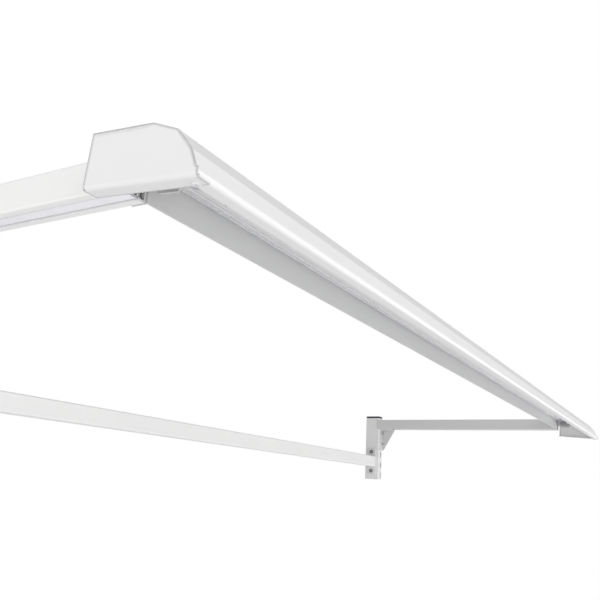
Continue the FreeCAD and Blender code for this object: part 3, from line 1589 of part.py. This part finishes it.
def make_terminal_block(name):
    """A stepped block with three clamping screws' wells."""
    body = hood_body(name, TERMINAL_X * NEAR)
    base = -d.carrier_base
    rear = BOARD_Y + d.terminal_width / 2
    front = BOARD_Y - d.terminal_width / 2
    block = new_sketch(body, "YZ_Plane")
    add_outline(block, (
        (rear, base), (rear, base + d.terminal_height),
        (front + d.terminal_step, base + d.terminal_height),
        (front, base + d.terminal_height - d.terminal_step), (front, base),
    ))
    pad(body, block, d.terminal_length)
    wells = new_sketch(body, "XY_Plane", base + d.terminal_height)
    for step in TERMINAL_STEPS:
        x = d.terminal_length / len(TERMINAL_STEPS) * step
        add_circle(wells, x, BOARD_Y + d.four_radius, d.four_radius)
    pocket(body, wells, d.terminal_step)


def hood_screws(name, seats, direction, sizes, length):
    """Screws of the hood, drawn with the hood level and then tilted with it."""
    radius, head, head_height = sizes
    screws(name, seats, heading(*direction), radius, head, head_height, length)
    put_on_hood(nodes[-1])


def make_hood_screws():
    roof = d.hood_roof_height
    down = (0, 0, -1)
    five = (d.five_radius, d.five_head, d.five_head_height)
    four = (d.four_radius, d.four_head, d.four_head_height)
    hanger = [(x, y, roof) for x, y in hanger_screw_places()]
    carrier = [(x, y, roof) for x, y in carrier_screw_places()]
    cap = [(x, y, roof) for x, y in cap_screw_places()]
    corner_x = HOOD_HALF - d.corner_screw_inset
    corner = [(corner_x * side, CORNER_SCREW_Y, CAP_BOTTOM) for _, side in SIDES]
    hood_screws("hanger_screws", hanger, down, five, d.hanger_screw_length)
    hood_screws("carrier_screws", carrier, down, four, d.sheet_screw_length)
    hood_screws("end_cap_screws", cap, down, four, d.sheet_screw_length)
    low_head = (d.four_radius, d.four_head, d.corner_head_height)
    hood_screws("hood_corner_screws", corner, (0, 0, 1), low_head, d.sheet_screw_length)


def make_frame():
    make_crossbar("crossbar")
    make_front_beam("front_beam")
    for label, side in SIDES:
        make_post(f"post_{label}", side)
        make_post_cap(f"post_cap_{label}", side)
        make_arm(f"arm_{label}", side)
        make_arm_end_plate(f"arm_end_plate_{label}", side)
        make_gusset(f"gusset_{label}", side)
        make_crossbar_plate(f"crossbar_plate_{label}", side)
        make_tilt_bracket(f"tilt_bracket_{label}", side)
        make_arm_cover(f"arm_cover_{label}", side)
        make_pivot_stud(f"pivot_stud_{label}", side)
    make_pivot_washers("pivot_washers")
    make_pivot_nuts("pivot_nuts")
    make_lock_knobs("tilt_lock_knobs")
    make_crossbar_screws("crossbar_screws")
    make_crossbar_nuts("crossbar_rivet_nuts")
    make_rear_nuts("rear_rivet_nuts")
    make_slot_screws("post_slot_screws")
    make_slot_nuts("post_slot_nuts")
    make_rail_screws("rail_screws")
    make_rail_nuts("rail_nuts")
    make_bracket_screws("bracket_screws")
    make_beam_screws("beam_screws")
    make_beam_nuts("beam_nuts")
    make_cable_gland("cable_gland")
    make_gland_nut("cable_gland_nut")
    make_arm_lead("arm_lead")


def make_hood():
    make_hood_roof("hood_roof")
    make_hood_shoulder("hood_shoulder")
    make_hood_front("hood_front")
    for label, side in SIDES:
        make_end_cap(f"end_cap_{label}", side)
        make_hood_hanger(f"hood_hanger_{label}", side)
        make_diffuser_end(f"diffuser_end_{label}", side)
    make_rear_trim("rear_trim_strip")
    make_led_carrier("led_carrier")
    make_led_boards("led_boards")
    make_led_chips("led_chips")
    make_diffuser("diffuser")
    make_led_driver("led_driver")
    make_driver_screws("driver_screws")
    make_terminal_block("terminal_block")
    make_hood_lead("hood_lead")
    make_hood_screws()


def check_document():
    """Stop before anything is written if any object failed or any shape is bad."""
    doc.recompute()
    failed = [
        item.Name for item in doc.Objects
        if "Invalid" in item.State or "Error" in item.State
    ]
    for item in nodes:
        if item.Shape.isNull() or not item.Shape.isValid() or not item.Shape.Solids:
            failed.append(item.Label)
    if failed:
        raise SystemExit("failed objects: " + ", ".join(failed))


def write_parts():
    os.makedirs("parts", exist_ok=True)
    for item in nodes:
        item.Shape.exportStep(os.path.join("parts", f"{item.Label}.step"))
        print(item.Label, len(item.Shape.Solids), "solids", round(item.Shape.Volume), "mm3")
    print(len(nodes), "nodes")


make_frame()
make_hood()
check_document()
write_parts()
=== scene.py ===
"""A long tilting LED hood on cantilever arms, dressed for a plain pale studio."""

import json
import math

import bpy
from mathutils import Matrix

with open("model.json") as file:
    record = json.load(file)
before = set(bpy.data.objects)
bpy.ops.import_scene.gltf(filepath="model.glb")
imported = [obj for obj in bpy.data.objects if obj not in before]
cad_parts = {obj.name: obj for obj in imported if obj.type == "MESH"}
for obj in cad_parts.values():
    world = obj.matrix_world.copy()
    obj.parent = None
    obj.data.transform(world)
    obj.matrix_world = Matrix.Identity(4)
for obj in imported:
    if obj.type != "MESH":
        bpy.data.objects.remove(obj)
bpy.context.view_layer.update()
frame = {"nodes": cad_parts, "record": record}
nodes = frame["nodes"]
slots = {part["node"]: part["material_slot"] for part in frame["record"]["subparts"]}


# Shader helpers, with lengths in metres and grains in features per metre

NOISE_RANGE = (0.3, 0.7)
EDGE_TURN_RANGE = (0.75, 0.98)
WHITE = (1.0, 1.0, 1.0, 1.0)


def new_material(name):
    """An empty node material with its shader and its coordinates in metres."""
    material = bpy.data.materials.new(name)
    material.use_nodes = True
    tree = material.node_tree
    tree.nodes.clear()
    output = tree.nodes.new("ShaderNodeOutputMaterial")
    shader = tree.nodes.new("ShaderNodeBsdfPrincipled")
    place = tree.nodes.new("ShaderNodeTexCoord")
    tree.links.new(shader.outputs["BSDF"], output.inputs["Surface"])
    return material, tree, shader, place.outputs["Object"]


def stretched(tree, place, scale):
    """The coordinates, stretched along the axes where the scale is small."""
    mapping = tree.nodes.new("ShaderNodeMapping")
    mapping.inputs["Scale"].default_value = scale
    tree.links.new(place, mapping.inputs["Vector"])
    return mapping.outputs["Vector"]


def noise(tree, vector, scale, detail=3.0, roughness=0.55):
    """Soft noise with features of about 1/scale metres."""
    texture = tree.nodes.new("ShaderNodeTexNoise")
    texture.inputs["Scale"].default_value = scale
    texture.inputs["Detail"].default_value = detail
    texture.inputs["Roughness"].default_value = roughness
    tree.links.new(vector, texture.inputs["Vector"])
    return texture.outputs["Fac"]


def spread(tree, value, low=0.0, high=1.0, source=NOISE_RANGE):
    """The value's source range spread over low to high."""
    node = tree.nodes.new("ShaderNodeMapRange")
    node.inputs["From Min"].default_value = source[0]
    node.inputs["From Max"].default_value = source[1]
    node.inputs["To Min"].default_value = low
    node.inputs["To Max"].default_value = high
    tree.links.new(value, node.inputs["Value"])
    return node.outputs["Result"]


def mixed(tree, factor, first, second):
    """One colour fading into another."""
    node = tree.nodes.new("ShaderNodeMix")
    node.data_type = "RGBA"
    tree.links.new(factor, node.inputs["Factor"])
    for socket, colour in ((node.inputs["A"], first), (node.inputs["B"], second)):
        if isinstance(colour, tuple):
            socket.default_value = (*colour, 1.0)
        else:
            tree.links.new(colour, socket)
    return node.outputs["Result"]


def bump(tree, shader, height, distance, strength):
    """Relief of the given depth."""
    node = tree.nodes.new("ShaderNodeBump")
    node.inputs["Distance"].default_value = distance
    node.inputs["Strength"].default_value = strength
    tree.links.new(height, node.inputs["Height"])
    tree.links.new(node.outputs["Normal"], shader.inputs["Normal"])


def edge_share(tree, radius):
    """Near one along sharp edges, zero on flat faces."""
    bevel = tree.nodes.new("ShaderNodeBevel")
    bevel.samples = 4
    bevel.inputs["Radius"].default_value = radius
    flat = tree.nodes.new("ShaderNodeNewGeometry")
    dot = tree.nodes.new("ShaderNodeVectorMath")
    dot.operation = "DOT_PRODUCT"
    tree.links.new(bevel.outputs["Normal"], dot.inputs[0])
    tree.links.new(flat.outputs["Normal"], dot.inputs[1])
    return spread(tree, dot.outputs["Value"], low=1.0, high=0.0, source=EDGE_TURN_RANGE)


def tint(colour, share):
    """The colour made lighter or darker."""
    return tuple(min(1.0, channel * share) for channel in colour)


def set_colour(tree, shader, colour):
    """The colour socket's link."""
    tree.links.new(colour, shader.inputs["Base Color"])


def set_roughness(tree, shader, value, low, high):
    """The roughness socket's link, with the noise spread over low to high."""
    tree.links.new(spread(tree, value, low, high), shader.inputs["Roughness"])


# Kinds of material

def powder_coat(name, colour, roughness=0.42, grain=1500.0, edge=0.0006, edge_shade_tone=0.92):
    """Baked powder paint: fine orange peel, faint clouding, and painted shade that darkens its
    edges.
    """
    material, tree, shader, place = new_material(name)
    clouds = spread(tree, noise(tree, place, scale=6.0, detail=4.0))
    clouded = mixed(tree, clouds, tint(colour, 0.985), tint(colour, 1.012))
    # Painted shade: the colour turns darker along sharp edges.
    edges = edge_share(tree, edge)
    set_colour(tree, shader, mixed(tree, edges, clouded, tint(colour, edge_shade_tone)))
    sheen = noise(tree, place, scale=45.0, detail=5.0)
    set_roughness(tree, shader, sheen, roughness - 0.05, roughness + 0.06)
    peel = noise(tree, place, grain, detail=2.0, roughness=0.45)
    bump(tree, shader, peel, distance=0.00005, strength=0.22)
    shader.inputs["Specular IOR Level"].default_value = 0.42
    return material


def moulded(name, colour, roughness, coat=0.0, edge=0.0004, edge_shade_tone=0.9):
    """Moulded plastic: a fine spark texture, faint flow marks, and painted shade that darkens its
    edges.
    """
    material, tree, shader, place = new_material(name)
    along = stretched(tree, place, (4.0, 20.0, 20.0))
    flow = spread(tree, noise(tree, along, scale=3.0, detail=4.0))
    coloured = mixed(tree, flow, tint(colour, 0.96), tint(colour, 1.03))
    # Painted shade: the colour turns darker along sharp edges.
    edges = edge_share(tree, edge)
    set_colour(tree, shader, mixed(tree, edges, coloured, tint(colour, edge_shade_tone)))
    dull = noise(tree, place, scale=300.0)
    set_roughness(tree, shader, dull, roughness - 0.06, roughness + 0.08)
    sparks = noise(tree, place, scale=2400.0, detail=2.0)
    bump(tree, shader, sparks, distance=0.00004, strength=0.25)
    shader.inputs["Coat Weight"].default_value = coat
    return material


def bare_metal(name, colour, roughness, along):
    """Drawn or plated metal: fine lines along the drawing direction and a little staining."""
    material, tree, shader, place = new_material(name)
    lines = noise(tree, stretched(tree, place, along), scale=1.0, roughness=0.6)
    stains = spread(tree, noise(tree, place, scale=60.0, detail=5.0))
    stained = mixed(tree, stains, tint(colour, 0.90), tint(colour, 1.05))
    edges = edge_share(tree, 0.0004)
    set_colour(tree, shader, mixed(tree, edges, stained, tint(colour, 1.15)))
    set_roughness(tree, shader, lines, roughness - 0.08, roughness + 0.10)
    bump(tree, shader, lines, distance=0.00003, strength=0.20)
    shader.inputs["Metallic"].default_value = 1.0
    return material


def opal(name):
    """Frosted diffuser plastic that lets light through softly."""
    material, tree, shader, place = new_material(name)
    milk = spread(tree, noise(tree, place, scale=30.0, detail=4.0))
    set_colour(tree, shader, mixed(tree, milk, (0.90, 0.92, 0.93), (0.95, 0.96, 0.96)))
    frost = noise(tree, stretched(tree, place, (6.0, 400.0, 400.0)), scale=1.0)
    set_roughness(tree, shader, frost, 0.34, 0.48)
    flutes = noise(tree, stretched(tree, place, (8.0, 900.0, 900.0)), scale=1.0)
    bump(tree, shader, flutes, distance=0.00004, strength=0.25)
    shader.inputs["Transmission Weight"].default_value = 0.30
    shader.inputs["IOR"].default_value = 1.49
    return material


def board(name):
    """White solder resist with the faint pattern of the copper under it."""
    material, tree, shader, place = new_material(name)
    weave = tree.nodes.new("ShaderNodeTexBrick")
    for socket, value in (
        ("Scale", 1.0),
        ("Brick Width", 0.036),
        ("Row Height", 0.006),
        ("Mortar Size", 0.0005),
        ("Mortar Smooth", 0.3),
        ("Color1", (0.86, 0.88, 0.87, 1.0)),
        ("Color2", (0.88, 0.89, 0.88, 1.0)),
        ("Mortar", (0.74, 0.77, 0.75, 1.0)),
    ):
        weave.inputs[socket].default_value = value
    tree.links.new(place, weave.inputs["Vector"])
    set_colour(tree, shader, weave.outputs["Color"])
    set_roughness(tree, shader, noise(tree, place, scale=200.0), 0.28, 0.42)
    bump(tree, shader, weave.outputs["Fac"], distance=0.00003, strength=0.5)
    return material


def phosphor(name):
    """The yellow resin pool of a light emitting diode."""
    material, tree, shader, place = new_material(name)
    pool = spread(tree, noise(tree, place, scale=900.0))
    set_colour(tree, shader, mixed(tree, pool, (0.86, 0.66, 0.16), (0.95, 0.82, 0.36)))
    set_roughness(tree, shader, noise(tree, place, scale=400.0), 0.16, 0.30)
    bump(tree, shader, noise(tree, place, scale=1500.0), distance=0.00005, strength=0.2)
    return material


def sheath(name, colour):
    """The smooth round jacket of a lead."""
    material, tree, shader, place = new_material(name)
    along = stretched(tree, place, (20.0, 20.0, 20.0))
    scuff = spread(tree, noise(tree, along, scale=8.0, detail=5.0))
    set_colour(tree, shader, mixed(tree, scuff, tint(colour, 0.8), tint(colour, 1.3)))
    set_roughness(tree, shader, noise(tree, place, scale=500.0), 0.45, 0.62)
    bump(tree, shader, noise(tree, place, scale=1200.0), distance=0.00004, strength=0.25)
    return material


# Materials by the record's slot, and those of single nodes

SLOT_MATERIALS = {
    "grey_paint": powder_coat("grey_powder_coat", (0.80, 0.80, 0.795), 0.50),
    # Painted shade: dark hairlines along the hood's edges.
    "white_paint": powder_coat(
        "white_powder_coat", (0.83, 0.83, 0.835), edge=0.0012, edge_shade_tone=0.80
    ),
    "white_screws": powder_coat("painted_screw", (0.78, 0.78, 0.79), 0.40, grain=3000.0),
    "dark_plastic": moulded("dark_cap_plastic", (0.045, 0.050, 0.065), 0.42),
    # Painted shade: broad dark bands along the cover strip's edges, where the arm's channel lies
    # in shadow.
    "white_plastic": moulded(
        "cover_plastic_with_painted_edge_shade", (0.91, 0.91, 0.96), 0.38, edge=0.0034, edge_shade_tone=0.20
    ),
    "opal_plastic": opal("opal_diffuser"),
    "circuit_board": board("white_circuit_board"),
    "led_phosphor": phosphor("led_phosphor"),
    "driver_case": moulded("driver_case_plastic", (0.74, 0.75, 0.76), 0.45),
    "terminal_plastic": moulded("terminal_plastic", (0.66, 0.68, 0.70), 0.30, coat=0.2),
    "lead_sheath": sheath("lead_jacket", (0.05, 0.05, 0.055)),
    "gland_plastic": moulded("gland_plastic", (0.045, 0.045, 0.05), 0.45),
    "aluminium_profile": bare_metal(
        "satin_aluminium", (0.80, 0.81, 0.82), 0.36, along=(5.0, 1400.0, 1400.0)
    ),
    "dark_steel": bare_metal("grey_zinc", (0.38, 0.38, 0.40), 0.42, along=(300.0, 300.0, 300.0)),
    "zinc_steel": bare_metal("bright_zinc", (0.60, 0.60, 0.62), 0.34, along=(500.0, 500.0, 500.0)),
}

# Lit and shaded copies of the frame's one grey paint: the lighter copy on the posts, crossbar and
# near arm is painted light, and the darker copy on the far arm and gussets is painted shade.
lit_frame_paint = powder_coat("lit_frame_powder_coat", (0.87, 0.87, 0.865), 0.50)
shaded_frame_paint = powder_coat("shaded_frame_powder_coat", (0.69, 0.69, 0.69), 0.50)
# Painted shade: the front beam's paint is darkened for the hood's shadow over it.
shaded_beam_paint = powder_coat("shaded_beam_powder_coat", (0.73, 0.73, 0.735), 0.50)
# Painted shade: the hangers are darkened to the tone of the shaded beam behind them.
shaded_hanger_paint = powder_coat("shaded_hanger_powder_coat", (0.60, 0.60, 0.605), 0.50)
# Painted shade and light on the end caps: strong dark bands along the near cap's edges, and a
# lighter copy of the white paint, with darker edges, on the far cap for its dimly lit inner face.
edge_shaded_near_cap_paint = powder_coat(
    "edge_shaded_near_cap_powder_coat", (0.82, 0.82, 0.825), edge=0.0036, edge_shade_tone=0.30
)
lit_far_cap_paint = powder_coat(
    "lit_far_cap_powder_coat", (0.93, 0.93, 0.935), edge=0.0020, edge_shade_tone=0.60
)
# Painted shade: dark lines along the trim's edges stand in for the shade in its grooves.
trim = powder_coat("trim_with_painted_groove_shade", (0.90, 0.90, 0.91), 0.34, edge=0.0012, edge_shade_tone=0.55)
pale_lead = sheath("pale_lead_jacket", (0.60, 0.60, 0.61))

NODE_MATERIALS = {
    "post_near": lit_frame_paint,
    "post_far": lit_frame_paint,
    "crossbar": lit_frame_paint,
    "arm_near": lit_frame_paint,
    "arm_far": shaded_frame_paint,
    "gusset_near": shaded_frame_paint,
    "gusset_far": shaded_frame_paint,
    "front_beam": shaded_beam_paint,
    "hood_hanger_near": shaded_hanger_paint,
    "hood_hanger_far": shaded_hanger_paint,
    "end_cap_near": edge_shaded_near_cap_paint,
    "end_cap_far": lit_far_cap_paint,
    "rear_trim_strip": trim,
    "hood_lead": pale_lead,
    "crossbar_screws": SLOT_MATERIALS["dark_steel"],
}

for name, node in nodes.items():
    node.data.materials.clear()
    node.data.materials.append(NODE_MATERIALS.get(name, SLOT_MATERIALS[slots[name]]))


# Camera at the photograph's viewing angle

FOCAL_PIXELS = 706.0
IMAGE_PIXELS = 600.0
SENSOR = 36.0
CAMERA_PLACE = (-1.3808, -1.0573, -0.1229)
CAMERA_DEGREES = (105.338, -2.974, -60.673)

camera_data = bpy.data.cameras.new("camera")
camera_data.sensor_width = SENSOR
camera_data.lens = SENSOR * FOCAL_PIXELS / IMAGE_PIXELS
camera_data.clip_start = 0.01
camera_data.clip_end = 100.0
camera = bpy.data.objects.new("camera", camera_data)
camera.location = CAMERA_PLACE
camera.rotation_euler = tuple(math.radians(angle) for angle in CAMERA_DEGREES)
bpy.context.scene.collection.objects.link(camera)
bpy.context.scene.camera = camera


# Floor and studio light

FLOOR_SIZE = 10.0
FLOOR_HEIGHT = -1.15
FLOOR_GLOW = (0.20, 0.85)
FLOOR_GLOW_FROM = (2.5, 5.0)
ROOM_SEEN = 1.0
ROOM_LIGHT = 0.34
LAMPS = (
    # name, place, the point that it faces, side, watts
    ("left_near", (-2.3, -0.45, 0.15), (-1.0, -0.5, 0.1), 0.8, 8.4),
    ("front_low", (-1.2, -3.2, -0.9), (0.0, -0.7, 0.1), 1.0, 10.0),
    ("front_near", (-1.9, -2.6, 0.8), (-0.7, -0.5, 0.1), 1.0, 9.0),
    ("front_right", (0.8, -4.0, 0.9), (0.0, -0.6, 0.1), 1.2, 56.0),
    ("right_strip", (3.5, -1.8, -0.7), (0.0, -0.7, 0.1), 0.4, 8.0),
    ("far_low", (1.7, -1.7, -0.8), (0.9, -0.65, 0.12), 0.6, 2.4),
)


def plain_floor():
    """A pale floor well below the light that glows as painted light, dimly under the object and
    brighter towards its rim.
    """
    mesh = bpy.data.meshes.new("floor")
    half = FLOOR_SIZE / 2
    corners = [(x * half, y * half, FLOOR_HEIGHT) for x, y in ((-1, -1), (1, -1), (1, 1), (-1, 1))]
    mesh.from_pydata(corners, [], [(0, 1, 2, 3)])
    floor = bpy.data.objects.new("floor", mesh)
    bpy.context.scene.collection.objects.link(floor)
    material, tree, shader, place = new_material("pale_floor")
    patch = spread(tree, noise(tree, place, scale=0.8))
    set_colour(tree, shader, mixed(tree, patch, (0.92, 0.92, 0.92), (0.94, 0.94, 0.94)))
    shader.inputs["Roughness"].default_value = 0.9
    shader.inputs["Specular IOR Level"].default_value = 0.1
    shader.inputs["Emission Color"].default_value = WHITE
    distance = tree.nodes.new("ShaderNodeVectorMath")
    distance.operation = "LENGTH"
    tree.links.new(place, distance.inputs[0])
    # Painted light: the floor glows, dim beneath the object and strong at its rim.
    glow = spread(tree, distance.outputs["Value"], *FLOOR_GLOW, source=FLOOR_GLOW_FROM)
    tree.links.new(glow, shader.inputs["Emission Strength"])
    floor.data.materials.append(material)


def soft_light(name, place, target, side, watts):
    """A square soft box that faces a point."""
    data = bpy.data.lights.new(name, "AREA")
    data.size = side
    data.energy = watts
    lamp = bpy.data.objects.new(name, data)
    lamp.location = place
    east, north, up = (end - start for end, start in zip(target, place))
    pitch = math.atan2(math.hypot(east, north), -up)
    heading = math.atan2(north, east) - math.pi / 2
    lamp.rotation_euler = (pitch, 0.0, heading)
    bpy.context.scene.collection.objects.link(lamp)


def white_room():
    """A surround that is seen white but lights the object softly."""
    world = bpy.data.worlds.new("room")
    world.use_nodes = True
    tree = world.node_tree
    tree.nodes.clear()
    output = tree.nodes.new("ShaderNodeOutputWorld")
    seen = tree.nodes.new("ShaderNodeBackground")
    lit = tree.nodes.new("ShaderNodeBackground")
    for background, level in ((seen, ROOM_SEEN), (lit, ROOM_LIGHT)):
        background.inputs["Color"].default_value = WHITE
        background.inputs["Strength"].default_value = level
    path = tree.nodes.new("ShaderNodeLightPath")
    choose = tree.nodes.new("ShaderNodeMixShader")
    tree.links.new(path.outputs["Is Camera Ray"], choose.inputs["Fac"])
    tree.links.new(lit.outputs["Background"], choose.inputs[1])
    tree.links.new(seen.outputs["Background"], choose.inputs[2])
    tree.links.new(choose.outputs["Shader"], output.inputs["Surface"])
    bpy.context.scene.world = world


plain_floor()
white_room()
for lamp_values in LAMPS:
    soft_light(*lamp_values)
bpy.context.scene.view_settings.view_transform = "Standard"
bpy.context.scene.view_settings.look = "None"
